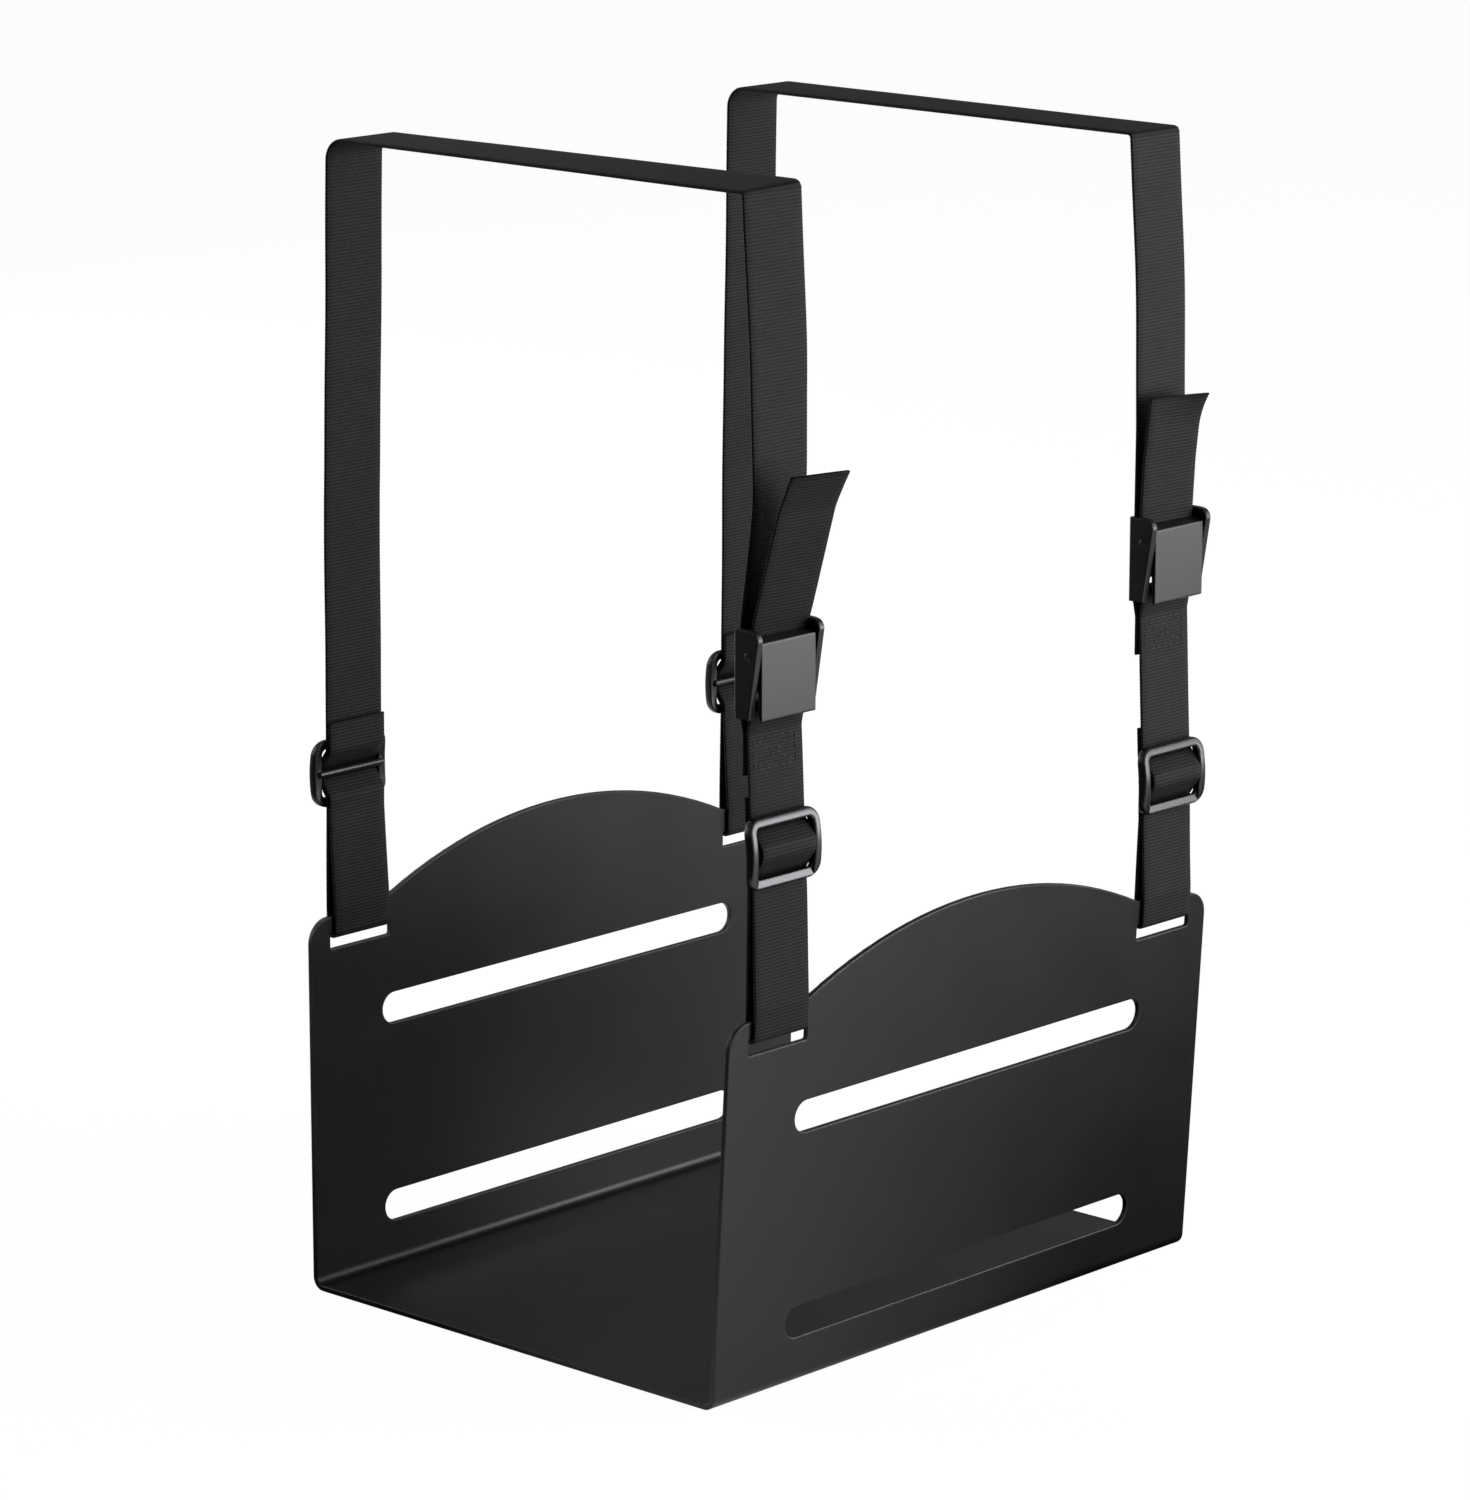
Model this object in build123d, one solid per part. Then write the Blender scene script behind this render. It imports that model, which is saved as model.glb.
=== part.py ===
from build123d import *
import os
from math import atan2, cos, degrees, hypot, radians, sin

# Computer tower holder: a bent steel bracket, and two webbing straps that hold the tower in it.
# Each strap is a short length with a cam buckle sewn to it and a long length that runs over the tower.
# Origin: centre of the bracket's underside. +X is along the plates' width, -Y is the front, +Z is up.
# All sizes are in millimetres.

# The tower that the straps go round.
TOWER_NEAR_Y = -90.5
TOWER_FAR_Y = 89.5
TOWER_TOP_Z = 391.8

# Bracket sheet.
SHEET = 2.0
BEND_INNER_RADIUS = 2.5
INNER_WIDTH = 183.0
PLATE_WIDTH = 240.0
FRONT_LEAN = 3.4
BACK_LEAN = 0.0
EDGE_ROUND = 0.3

# Plate outline, as heights above the underside.
ARCH_TOP = 150.9
ARCH_END = 132.4
ARCH_HALF_CHORD = 83.25
HORN_TOP = 129.7
HORN_CORNER_RADIUS = 8.5

# Slots in each plate.
STRAP_SLOT_X = 97.25
STRAP_SLOT_WIDTH = 28.0
STRAP_SLOT_LOW = 118.4
STRAP_SLOT_HIGH = 124.0
LONG_SLOT_LENGTH = 174.5
LONG_SLOT_HEIGHT = 10.9
LONG_SLOT_HEIGHTS = (21.7, 92.2)

# Webbing.
WEBBING_WIDTH = 25.4
WEBBING = 1.2
LAYER_PITCH = 1.35
WRAP_GAP = 0.15
SLOT_GAP = 0.25
OVER_TOWER_GAP = 0.3
CORNER_RADIUS = 7.0

# Glide: a ring with a recessed centre bar.
GLIDE_WIDTH = 32.6
GLIDE_HEIGHT = 23.0
GLIDE_SIDE = 3.1
GLIDE_BAR = 3.2
GLIDE_THICKNESS = 2.6
GLIDE_CORNER = 4.2
GLIDE_ARCH_RADIUS = 90.0
CENTRE_BAR_DIAMETER = 2.4
CENTRE_BAR_SETBACK = 1.3
GLIDE_TAIL = 18.0

# Heights of the fittings on each strap.
FRONT_GLIDE_Z = {"left": 184.1, "right": 173.8}
REAR_GLIDE_Z = 178.4
BUCKLE_BASE_Z = {"left": 227.8, "right": 235.8}

# Cam buckle, in its own side view: depth outward from the frame's back, and height above its lower end.
BUCKLE_BACK_Y = -95.7
FRAME_WIDTH = 31.2
CHEEK = 2.6
CHEEK_HEIGHT = 28.6
CHEEK_LOW_DEPTH = 6.1
CHEEK_TOP_DEPTH = 10.6
CHEEK_CORNER_RADIUS = 3.2
TOP_BAR = (2.0, 24.2)
TOP_BAR_THICKNESS = 2.4
TOP_BAR_HIGH = 28.0
BOTTOM_BAR = (1.5, 2.0)
BOTTOM_BAR_RADIUS = 1.5
WEB_LOW = 6.6
WEB_HIGH = 16.6
WEB_THICKNESS = 1.3
PIN_CENTRE = (5.6, 20.3)
PIN_RADIUS = 1.25
PIN_HEAD = 0.35
PIN_FIT = 0.02
LEVER_WIDTH = 25.0
LEVER_FACE = 9.0
LEVER_PLATE = 1.4
LEVER_LOW = -0.8
LEVER_HIGH = 24.5
HUB_RADIUS = 2.4
LEVER_BORE_RADIUS = 1.31
TEETH = 3
TOOTH_PITCH = 0.75
TOOTH_DEPTH = 0.4
TOOTH_FACE = 4.8
SPRING_WIRE = 0.5
SPRING_MEAN_RADIUS = 1.62
SPRING_PITCH = 0.9
SPRING_WHOLE_TURNS = 5
SPRING_START = 25.0
SPRING_FINISH = 180.0
SPRING_LEGS = (6.0, 3.0)
SPRING_POCKET = 9.0
POCKET_DEPTH = 8.1

# Tails above the buckles: depth outward and height of each point, and the bend radius there.
TAILS = {
    "left": [(3.9, 27.6, 12.0), (9.0, 45.0, 60.0), (20.3, 78.0, 0.0)],
    "right": [(3.9, 27.6, 12.0), (7.2, 46.0, 60.0), (9.8, 68.0, 0.0)],
}
SEWN_END = -19.0

HALF_INNER = INNER_WIDTH / 2
BEND_CENTRE_Z = SHEET + BEND_INNER_RADIUS
GLIDE_SAG = (GLIDE_HEIGHT / 2) ** 2 / (2 * GLIDE_ARCH_RADIUS)
GLIDE_REST = GLIDE_THICKNESS / 2 + GLIDE_SAG + WRAP_GAP + WEBBING / 2


def plate_y(side, lean, z, depth):
    """Y of a plate at a height, at a depth of 0 on its inner face and SHEET on its outer face."""
    angle = radians(lean)
    reach = (BEND_INNER_RADIUS + depth + sin(angle) * (z - BEND_CENTRE_Z)) / cos(angle)
    return side * (HALF_INNER - BEND_INNER_RADIUS + reach)


def swept_band(run, width, thickness):
    """A band of one thickness along a run of (y, z, bend radius) in the YZ plane."""
    points = [(y, z) for y, z, _ in run]
    radii = [radius for _, _, radius in run[1:-1]]
    path = Plane.YZ * FilletPolyline(*points, radius=radii)
    start = Plane(origin=path @ 0, x_dir=(1, 0, 0), z_dir=path % 0)
    return sweep(start * Rectangle(width, thickness), path=path)


def plate_cuts(side, lean):
    """What the bent sheet loses on one plate: its corners above the outline, and its slots."""
    angle = radians(lean)
    outer = Plane(
        origin=(0, plate_y(side, lean, 0, SHEET), 0),
        x_dir=(-side, 0, 0),
        z_dir=(0, side * cos(angle), -sin(angle)),
    )
    half = PLATE_WIDTH / 2
    corner = half - HORN_CORNER_RADIUS
    shoulder = HORN_TOP - HORN_CORNER_RADIUS
    beyond, over = half + 20, ARCH_TOP + 40
    outline = [
        Line((-beyond, shoulder), (-half, shoulder)),
        RadiusArc((-half, shoulder), (-corner, HORN_TOP), HORN_CORNER_RADIUS),
        Line((-corner, HORN_TOP), (-ARCH_HALF_CHORD, ARCH_END)),
        ThreePointArc((-ARCH_HALF_CHORD, ARCH_END), (0, ARCH_TOP), (ARCH_HALF_CHORD, ARCH_END)),
        Line((ARCH_HALF_CHORD, ARCH_END), (corner, HORN_TOP)),
        RadiusArc((corner, HORN_TOP), (half, shoulder), HORN_CORNER_RADIUS),
        Line((half, shoulder), (beyond, shoulder)),
        Line((beyond, shoulder), (beyond, over)),
        Line((beyond, over), (-beyond, over)),
        Line((-beyond, over), (-beyond, shoulder)),
    ]
    above = make_face(outline)
    slots = Sketch()
    slot_height = STRAP_SLOT_HIGH - STRAP_SLOT_LOW
    for x in (-STRAP_SLOT_X, STRAP_SLOT_X):
        place = Pos(x, (STRAP_SLOT_HIGH + STRAP_SLOT_LOW) / 2)
        slots += place * RectangleRounded(STRAP_SLOT_WIDTH, slot_height, 0.8)
    for z in LONG_SLOT_HEIGHTS:
        slots += Pos(0, z) * SlotOverall(LONG_SLOT_LENGTH, LONG_SLOT_HEIGHT)
    return extrude(outer * (above + slots), amount=SHEET * 3, both=True)


def make_bracket():
    """One sheet bent up at the front and the back, with the same outline and slots on both plates."""
    middle = SHEET / 2
    bend = BEND_INNER_RADIUS + middle
    top = ARCH_TOP + 20
    sheet = swept_band(
        [
            (plate_y(-1, FRONT_LEAN, top, middle), top, 0),
            (plate_y(-1, FRONT_LEAN, middle, middle), middle, bend),
            (plate_y(1, BACK_LEAN, middle, middle), middle, bend),
            (plate_y(1, BACK_LEAN, top, middle), top, 0),
        ],
        PLATE_WIDTH,
        SHEET,
    )
    bracket = sheet - plate_cuts(-1, FRONT_LEAN) - plate_cuts(1, BACK_LEAN)
    bends = bracket.edges().filter_by(lambda edge: edge.length > PLATE_WIDTH - 1)
    corners = bracket.edges().filter_by(lambda edge: abs(edge.length - SHEET) < 0.01)
    return fillet(bracket.edges() - bends - corners, EDGE_ROUND)


def shifted(run, distance):
    """A run moved sideways, left of its direction, with its bend radii kept concentric."""
    normals = []
    for (y0, z0, _), (y1, z1, _) in zip(run, run[1:]):
        length = hypot(y1 - y0, z1 - z0)
        normals.append(((z0 - z1) / length, (y1 - y0) / length))
    ends = [normals[0], *normals, normals[-1]]
    moved = []
    for (y, z, radius), (ay, az), (by, bz) in zip(run, ends, ends[1:]):
        scale = distance / (1 + ay * by + az * bz)
        turn = ay * bz - az * by
        change = -distance if turn > 0 else distance
        moved.append((y + scale * (ay + by), z + scale * (az + bz), radius + change))
    return moved


def glide_frame(side, main_y, z, lean):
    """Y and Z of a point at an outward depth and a height on a glide whose webbing runs at main_y."""
    angle = radians(lean)
    centre_y = main_y + side * GLIDE_REST

    def place(depth, height):
        y = centre_y + side * (depth * cos(angle) + height * sin(angle))
        return y, z + height * cos(angle) - depth * sin(angle)

    return place


def weave(side, main_y, z, lean):
    """The outer layer's way through a glide, from below: behind its bars and over its centre bar."""
    place = glide_frame(side, main_y, z, lean)
    window = GLIDE_HEIGHT / 2 - GLIDE_BAR
    crest = CENTRE_BAR_DIAMETER / 2 - CENTRE_BAR_SETBACK + WRAP_GAP + LAYER_PITCH + WEBBING / 2
    local = [
        (-GLIDE_REST, -window, 1.6),
        (crest, -1.7, 3.2),
        (crest, 1.7, 3.2),
        (-GLIDE_REST, window, 1.6),
    ]
    return [(*place(depth, height), radius) for depth, height, radius in local]


def inner_weave(side, main_y, z, lean):
    """The strap's end under the outer layer, from its tip above the glide down to below it."""
    place = glide_frame(side, main_y, z, lean)
    tip = (*place(-GLIDE_REST, GLIDE_TAIL), 0)
    foot = (*place(-GLIDE_REST, -GLIDE_HEIGHT / 2 - 2), 5.0)
    run = [tip, *reversed(weave(side, main_y, z, lean)), foot]
    return shifted(run, -side * LAYER_PITCH)


def slot_wrap(side, lean):
    """The webbing round the bar above a strap slot, from its tower side to its outer side."""
    z = STRAP_SLOT_HIGH + 0.3
    reach = SHEET / 2 + SLOT_GAP + WEBBING / 2
    middle = plate_y(side, lean, z, SHEET / 2)
    low = z - reach
    clear_z = ARCH_END + 0.4
    clear = side * (SLOT_GAP + WEBBING / 2)
    clear_y = plate_y(side, lean, clear_z, SHEET) + clear
    return [
        (plate_y(side, lean, clear_z, 0) - clear, clear_z, 12.0),
        (middle - side * reach, low, reach - 0.03),
        (middle + side * reach, low, reach - 0.03),
        (clear_y, clear_z, 12.0),
    ]


def strap_loop(side, lean, main_y, glide_z, glide_lean):
    """A strap's adjustable end: tip, glide, slot and glide again, ending above the glide."""
    return [
        *inner_weave(side, main_y, glide_z, glide_lean),
        *slot_wrap(side, lean),
        *weave(side, main_y, glide_z, glide_lean),
    ]


def front_line(hand):
    """Y and lean of the short strap where it passes the front glide."""
    low_y, low_z = slot_wrap(-1, FRONT_LEAN)[-1][:2]
    high_y = BUCKLE_BACK_Y - BOTTOM_BAR[0] - LAYER_PITCH / 2
    high_z = BUCKLE_BASE_Z[hand] - 6
    share = (FRONT_GLIDE_Z[hand] - low_z) / (high_z - low_z)
    lean = degrees(atan2(low_y - high_y, high_z - low_z))
    return low_y + share * (high_y - low_y), lean


def rear_line():
    """Y and lean of the long strap where it passes the rear glide."""
    low_y, low_z = slot_wrap(1, BACK_LEAN)[-1][:2]
    high_y = TOWER_FAR_Y + 1 + WEBBING / 2
    share = (REAR_GLIDE_Z - low_z) / (TOWER_TOP_Z - low_z)
    lean = degrees(atan2(high_y - low_y, TOWER_TOP_Z - low_z))
    return low_y + share * (high_y - low_y), lean


def on_buckle(hand, depth, height):
    """Y and Z of a point in the buckle's side view."""
    return BUCKLE_BACK_Y - depth, BUCKLE_BASE_Z[hand] + height


def make_short_strap(hand):
    """From its tip at the front glide, round the bracket's bar, up to its sewn loop on the buckle."""
    main_y, lean = front_line(hand)
    bar_depth, bar_height = BOTTOM_BAR
    wrap = BOTTOM_BAR_RADIUS + 0.1 + WEBBING / 2
    top = bar_height + wrap
    loop = [
        (bar_depth + LAYER_PITCH / 2, -6.0, 6.0),
        (bar_depth + wrap, bar_height - 0.5, 4.0),
        (bar_depth + wrap, top, wrap - 0.03),
        (bar_depth - wrap, top, wrap - 0.03),
        (bar_depth - wrap, bar_height - 0.5, 4.0),
        (bar_depth - LAYER_PITCH / 2, -6.0, 6.0),
        (bar_depth - LAYER_PITCH / 2, SEWN_END, 0),
    ]
    run = strap_loop(-1, FRONT_LEAN, main_y, FRONT_GLIDE_Z[hand], lean)
    run += [(*on_buckle(hand, depth, height), radius) for depth, height, radius in loop]
    return swept_band(run, WEBBING_WIDTH, WEBBING)


def make_long_strap(hand):
    """From its tip at the rear glide, over the tower, round the buckle's top bar, to its free tail."""
    main_y, lean = rear_line()
    over_z = TOWER_TOP_Z + OVER_TOWER_GAP + WEBBING / 2
    bar_depth, bar_height = TOP_BAR
    wrap = TOP_BAR_THICKNESS / 2 + 0.1 + WEBBING / 2
    low = bar_height - wrap
    run = strap_loop(1, BACK_LEAN, main_y, REAR_GLIDE_Z, lean)
    run += [
        (TOWER_FAR_Y + 1 + WEBBING / 2, over_z, CORNER_RADIUS),
        (TOWER_NEAR_Y - 3.4, over_z, CORNER_RADIUS),
        (*on_buckle(hand, bar_depth - wrap, bar_height + 8), 60.0),
        (*on_buckle(hand, bar_depth - wrap, low), wrap - 0.03),
        (*on_buckle(hand, bar_depth + wrap, low), wrap - 0.03),
    ]
    run += [(*on_buckle(hand, depth, height), radius) for depth, height, radius in TAILS[hand]]
    return swept_band(run, WEBBING_WIDTH, WEBBING)


def make_glide(side, main_y, z, lean):
    """A gently arched ring with rounded bars, and a round centre bar set back behind it."""
    ring = RectangleRounded(GLIDE_WIDTH, GLIDE_HEIGHT, GLIDE_CORNER)
    window_height = GLIDE_HEIGHT - 2 * GLIDE_BAR
    ring -= RectangleRounded(GLIDE_WIDTH - 2 * GLIDE_SIDE, window_height, 1.6)
    blank = extrude(ring, amount=GLIDE_THICKNESS * 2, both=True)
    across = Plane.YZ * (Pos(0, -GLIDE_ARCH_RADIUS) * Circle(GLIDE_ARCH_RADIUS + GLIDE_THICKNESS / 2))
    inner = Plane.YZ * (Pos(0, -GLIDE_ARCH_RADIUS) * Circle(GLIDE_ARCH_RADIUS - GLIDE_THICKNESS / 2))
    shell = extrude(across, amount=GLIDE_WIDTH, both=True) - extrude(inner, amount=GLIDE_WIDTH, both=True)
    body = blank & shell
    body = fillet(body.edges().filter_by(lambda edge: edge.length > 8), 0.6)
    bar = Plane.YZ * (Pos(0, -CENTRE_BAR_SETBACK) * Circle(CENTRE_BAR_DIAMETER / 2))
    body += extrude(bar, amount=GLIDE_WIDTH / 2 - GLIDE_SIDE / 2, both=True)
    centre_y = main_y + side * GLIDE_REST
    angle = radians(lean)
    seat = Plane(
        origin=(0, centre_y, z),
        x_dir=(-side, 0, 0),
        z_dir=(0, side * cos(angle), -sin(angle)),
    )
    return seat * body


def side_view(hand, outline):
    """A sketch drawn as (depth, height), stood up in the buckle's side view, facing +X."""
    seat = Plane(origin=(0, *on_buckle(hand, 0, 0)), x_dir=(0, -1, 0), z_dir=(-1, 0, 0))
    return seat * outline


def make_buckle_frame(hand):
    """Two tapering cheeks joined by a top bar, a web and a bottom bar, bored for the lever's pin."""
    cheek = make_face(
        Polyline(
            (0, 0),
            (CHEEK_LOW_DEPTH, 0),
            (CHEEK_TOP_DEPTH, CHEEK_HEIGHT - 0.6),
            (CHEEK_TOP_DEPTH - 4, CHEEK_HEIGHT),
            (0, CHEEK_HEIGHT),
            close=True,
        )
    )
    cheek = fillet(cheek.vertices().group_by(Axis.X)[-1], CHEEK_CORNER_RADIUS)
    cheek -= Pos(*PIN_CENTRE) * Circle(PIN_RADIUS + PIN_FIT)
    plate = extrude(side_view(hand, cheek), amount=CHEEK / 2, both=True)
    plate = fillet(plate.edges().filter_by(lambda edge: edge.length > 20), 0.5)
    offset = (FRAME_WIDTH - CHEEK) / 2
    inside = FRAME_WIDTH / 2 - CHEEK / 2
    top_height = TOP_BAR_HIGH - TOP_BAR[1] + TOP_BAR_THICKNESS / 2
    top_middle = TOP_BAR_HIGH - top_height / 2
    bars = Pos(TOP_BAR[0], top_middle) * Rot(0, 0, 90) * SlotOverall(top_height, TOP_BAR_THICKNESS)
    bars += Pos(*BOTTOM_BAR) * Circle(BOTTOM_BAR_RADIUS)
    web_height = WEB_HIGH - WEB_LOW
    web_place = Pos(WEB_THICKNESS / 2, WEB_LOW + web_height / 2)
    bars += web_place * RectangleRounded(WEB_THICKNESS, web_height, 0.4)
    frame = extrude(side_view(hand, bars), amount=inside, both=True)
    return frame + Pos(-offset, 0, 0) * plate + Pos(offset, 0, 0) * plate


def make_pin(hand):
    """A plain pin whose chamfered ends stand just outside the cheeks."""
    length = FRAME_WIDTH / 2 + PIN_HEAD
    pin = extrude(side_view(hand, Pos(*PIN_CENTRE) * Circle(PIN_RADIUS)), amount=length, both=True)
    return chamfer(pin.edges().filter_by(GeomType.CIRCLE), 0.25)


def make_lever(hand):
    """A flat thumb plate with a toothed cam nose above its hub, pocketed in the middle for the spring."""
    depth, height = PIN_CENTRE
    profile = make_face(
        Polyline(
            (LEVER_FACE - LEVER_PLATE, LEVER_LOW),
            (LEVER_FACE, LEVER_LOW),
            (LEVER_FACE, LEVER_HIGH),
            (depth - 0.5, LEVER_HIGH + 1.2),
            (TOOTH_FACE, LEVER_HIGH + 0.8),
            (TOOTH_FACE, height + 2.9),
            (depth - 1.3, height + 2.2),
            (depth - 0.5, height - 2.5),
            (LEVER_FACE - LEVER_PLATE - 0.3, height - 4.5),
            close=True,
        )
    )
    outer = profile.vertices().group_by(Axis.X)[-1]
    profile = fillet(outer, LEVER_PLATE * 0.45)
    profile += Pos(depth, height) * Circle(HUB_RADIUS)
    for tooth in range(TEETH):
        low = height + 3.2 + tooth * TOOTH_PITCH
        gullet = Polyline(
            (TOOTH_FACE - 0.1, low),
            (TOOTH_FACE + TOOTH_DEPTH, low + TOOTH_PITCH * 0.4),
            (TOOTH_FACE - 0.1, low + TOOTH_PITCH * 0.8),
            close=True,
        )
        profile -= make_face(gullet)
    profile -= Pos(depth, height) * Circle(LEVER_BORE_RADIUS)
    lever = extrude(side_view(hand, profile), amount=LEVER_WIDTH / 2, both=True)
    pocket_low = height - HUB_RADIUS - 3
    pocket_high = height + HUB_RADIUS + 0.1
    pocket = Pos(POCKET_DEPTH / 2, (pocket_low + pocket_high) / 2)
    pocket *= Rectangle(POCKET_DEPTH, pocket_high - pocket_low)
    return lever - extrude(side_view(hand, pocket), amount=SPRING_POCKET / 2, both=True)


def make_spring(hand):
    """A torsion spring round the pin: one leg rests on the frame's web, the other on the lever's plate."""
    turns = SPRING_WHOLE_TURNS + (SPRING_FINISH - SPRING_START) / 360
    coil_height = turns * SPRING_PITCH
    coil = Rot(0, 0, SPRING_START) * Helix(SPRING_PITCH, coil_height, SPRING_MEAN_RADIUS)
    first = Line(coil @ 0 - (coil % 0) * SPRING_LEGS[0], coil @ 0)
    last = Line(coil @ 1, coil @ 1 + (coil % 1) * SPRING_LEGS[1])
    path = Wire([first.edge(), coil.edge(), last.edge()])
    start = Plane(origin=path @ 0, z_dir=path % 0)
    wire = sweep(start * Circle(SPRING_WIRE / 2), path=path)
    y, z = on_buckle(hand, *PIN_CENTRE)
    seat = Plane(origin=(-coil_height / 2, y, z), x_dir=(0, 1, 0), z_dir=(1, 0, 0))
    return seat * wire


def make_strap_set(hand):
    """Every piece of one strap, at the middle of the bracket's width."""
    front_y, front_lean = front_line(hand)
    rear_y, rear_lean = rear_line()
    return {
        "long_strap": make_long_strap(hand),
        "short_strap": make_short_strap(hand),
        "buckle_frame": make_buckle_frame(hand),
        "cam_lever": make_lever(hand),
        "lever_pin": make_pin(hand),
        "lever_spring": make_spring(hand),
        "front_glide": make_glide(-1, front_y, FRONT_GLIDE_Z[hand], front_lean),
        "rear_glide": make_glide(1, rear_y, REAR_GLIDE_Z, rear_lean),
    }


os.makedirs("parts", exist_ok=True)
export_step(make_bracket(), "parts/bracket.step")
for hand, x in (("left", -STRAP_SLOT_X), ("right", STRAP_SLOT_X)):
    for name, shape in make_strap_set(hand).items():
        export_step(Pos(x, 0, 0) * shape, f"parts/{hand}_{name}.step")
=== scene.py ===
from math import acos, atan2, cos, degrees, hypot, pi, radians, sin, tan

import bmesh
import bpy
import numpy as np
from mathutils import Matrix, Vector


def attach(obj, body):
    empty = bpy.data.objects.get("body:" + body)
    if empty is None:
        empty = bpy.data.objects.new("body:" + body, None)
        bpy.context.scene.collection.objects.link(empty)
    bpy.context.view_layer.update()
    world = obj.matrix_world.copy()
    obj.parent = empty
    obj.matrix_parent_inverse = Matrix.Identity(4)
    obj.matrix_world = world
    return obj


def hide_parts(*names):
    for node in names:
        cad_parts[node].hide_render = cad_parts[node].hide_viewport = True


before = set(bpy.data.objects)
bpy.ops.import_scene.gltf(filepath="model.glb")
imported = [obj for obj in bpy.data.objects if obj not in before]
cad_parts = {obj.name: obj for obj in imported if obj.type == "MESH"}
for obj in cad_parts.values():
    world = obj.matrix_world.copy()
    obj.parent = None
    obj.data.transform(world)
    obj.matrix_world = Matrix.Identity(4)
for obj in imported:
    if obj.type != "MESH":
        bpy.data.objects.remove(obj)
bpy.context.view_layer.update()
MM = 0.001
# X of each strap's middle. The holder's shapes are worked out in millimetres, and scaled by MM.
HANDS = {"left": -97.25, "right": 97.25}


# ---------------------------------------------------------------- objects and meshes
def added(name, data):
    """A new object of this data, in the scene."""
    obj = bpy.data.objects.new(name, data)
    bpy.context.scene.collection.objects.link(obj)
    return obj


def faces_outward(mesh):
    """Turn the faces of a closed mesh outward."""
    bm = bmesh.new()
    bm.from_mesh(mesh)
    bmesh.ops.recalc_face_normals(bm, faces=bm.faces)
    bm.to_mesh(mesh)
    bm.free()


def shaded(mesh, material, sharp=None):
    """Shade a mesh smooth in one material, apart from edges sharper than an angle where one is given."""
    mesh.polygons.foreach_set("use_smooth", [True] * len(mesh.polygons))
    if sharp:
        mesh.set_sharp_from_angle(angle=sharp)
    mesh.materials.clear()
    mesh.materials.append(material)


def tube_faces(rows, count, closed=False):
    """The side faces of a tube of rows of points, count to a row, whose last row may join its first."""
    faces = []
    for row in range(rows if closed else rows - 1):
        here, there = row * count, (row + 1) % rows * count
        for c in range(count):
            d = (c + 1) % count
            faces.append((here + c, here + d, there + d, there + c))
    return faces


# ---------------------------------------------------------------- camera, as worked out from the photo
CAMERA_LENS = 144.04
CAMERA_PLACE = (-1.4546, -1.3404, 0.6443)
CAMERA_PITCH = 13.1253
CAMERA_YAW = 47.1586

cam_data = bpy.data.cameras.new("camera")
cam_data.lens = CAMERA_LENS
cam_data.sensor_width = 36.0
cam_data.sensor_fit = "AUTO"
cam_data.clip_start = 0.05
cam_data.clip_end = 100
camera = added("camera", cam_data)
camera.location = CAMERA_PLACE
camera.rotation_euler = (radians(90 - CAMERA_PITCH), 0, radians(-CAMERA_YAW))
bpy.context.scene.camera = camera

# ---------------------------------------------------------------- the straps' routes, in millimetres
# These follow the CAD, apart from the tails, the bow above each buckle and the sharp bend over the tower's
# near edge, which follow the photo more closely.
TOWER_NEAR_Y = -90.5
TOWER_FAR_Y = 89.5
TOWER_TOP_Z = 391.8
SHEET = 2.0
BEND_INNER_RADIUS = 2.5
INNER_WIDTH = 183.0
FRONT_LEAN = 3.4
BACK_LEAN = 0.0
ARCH_END = 132.4
STRAP_SLOT_HIGH = 124.0
WEBBING_WIDTH = 25.4
WEBBING = 1.2
LAYER_PITCH = 1.35
WRAP_GAP = 0.15
SLOT_GAP = 0.25
BAR_GAP = 0.1
OVER_TOWER_GAP = 0.3
FAR_SIDE_GAP = 1.0
NEAR_SIDE_REACH = 3.4
CORNER_RADIUS = 7.0
NEAR_CORNER_RADIUS = 1.6
# A turn round a bar is two bends, each just under half the turn's width so that they don't meet.
TURN_TRIM = 0.03
PLATE_CLEAR_RADIUS = 12.0
BOW = {
    "left": [(-98.2, 336.4, 600.0), (-99.1, 295.0, 250.0)],
    "right": [(-96.4, 337.4, 700.0)],
}
GLIDE_HEIGHT = 23.0
GLIDE_BAR = 3.2
GLIDE_THICKNESS = 2.6
GLIDE_ARCH_RADIUS = 90.0
CENTRE_BAR_DIAMETER = 2.4
CENTRE_BAR_SETBACK = 1.3
GLIDE_TAIL = 18.0
CREST_HALF = 1.7
CREST_RADIUS = 3.2
WINDOW_RADIUS = 1.6
FRONT_GLIDE_Z = {"left": 184.1, "right": 173.8}
REAR_GLIDE_Z = 178.4
BUCKLE_BASE_Z = {"left": 227.8, "right": 235.8}
BUCKLE_BACK_Y = -95.7
TOP_BAR = (2.0, 24.2)
TOP_BAR_THICKNESS = 2.4
BOTTOM_BAR = (1.5, 2.0)
BOTTOM_BAR_RADIUS = 1.5
SEWN_TOP = -6.0
SEWN_END = -19.0
TAILS = {
    "left": [(4.5, 27.6, 12.0), (10.2, 47.0, 60.0), (15.8, 66.0, 25.0), (21.3, 78.0, 0.0)],
    "right": [(3.9, 27.6, 12.0), (4.8, 46.0, 60.0), (7.4, 69.0, 0.0)],
}
GLIDE_SAG = (GLIDE_HEIGHT / 2) ** 2 / (2 * GLIDE_ARCH_RADIUS)
GLIDE_REST = GLIDE_THICKNESS / 2 + GLIDE_SAG + WRAP_GAP + WEBBING / 2
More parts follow.
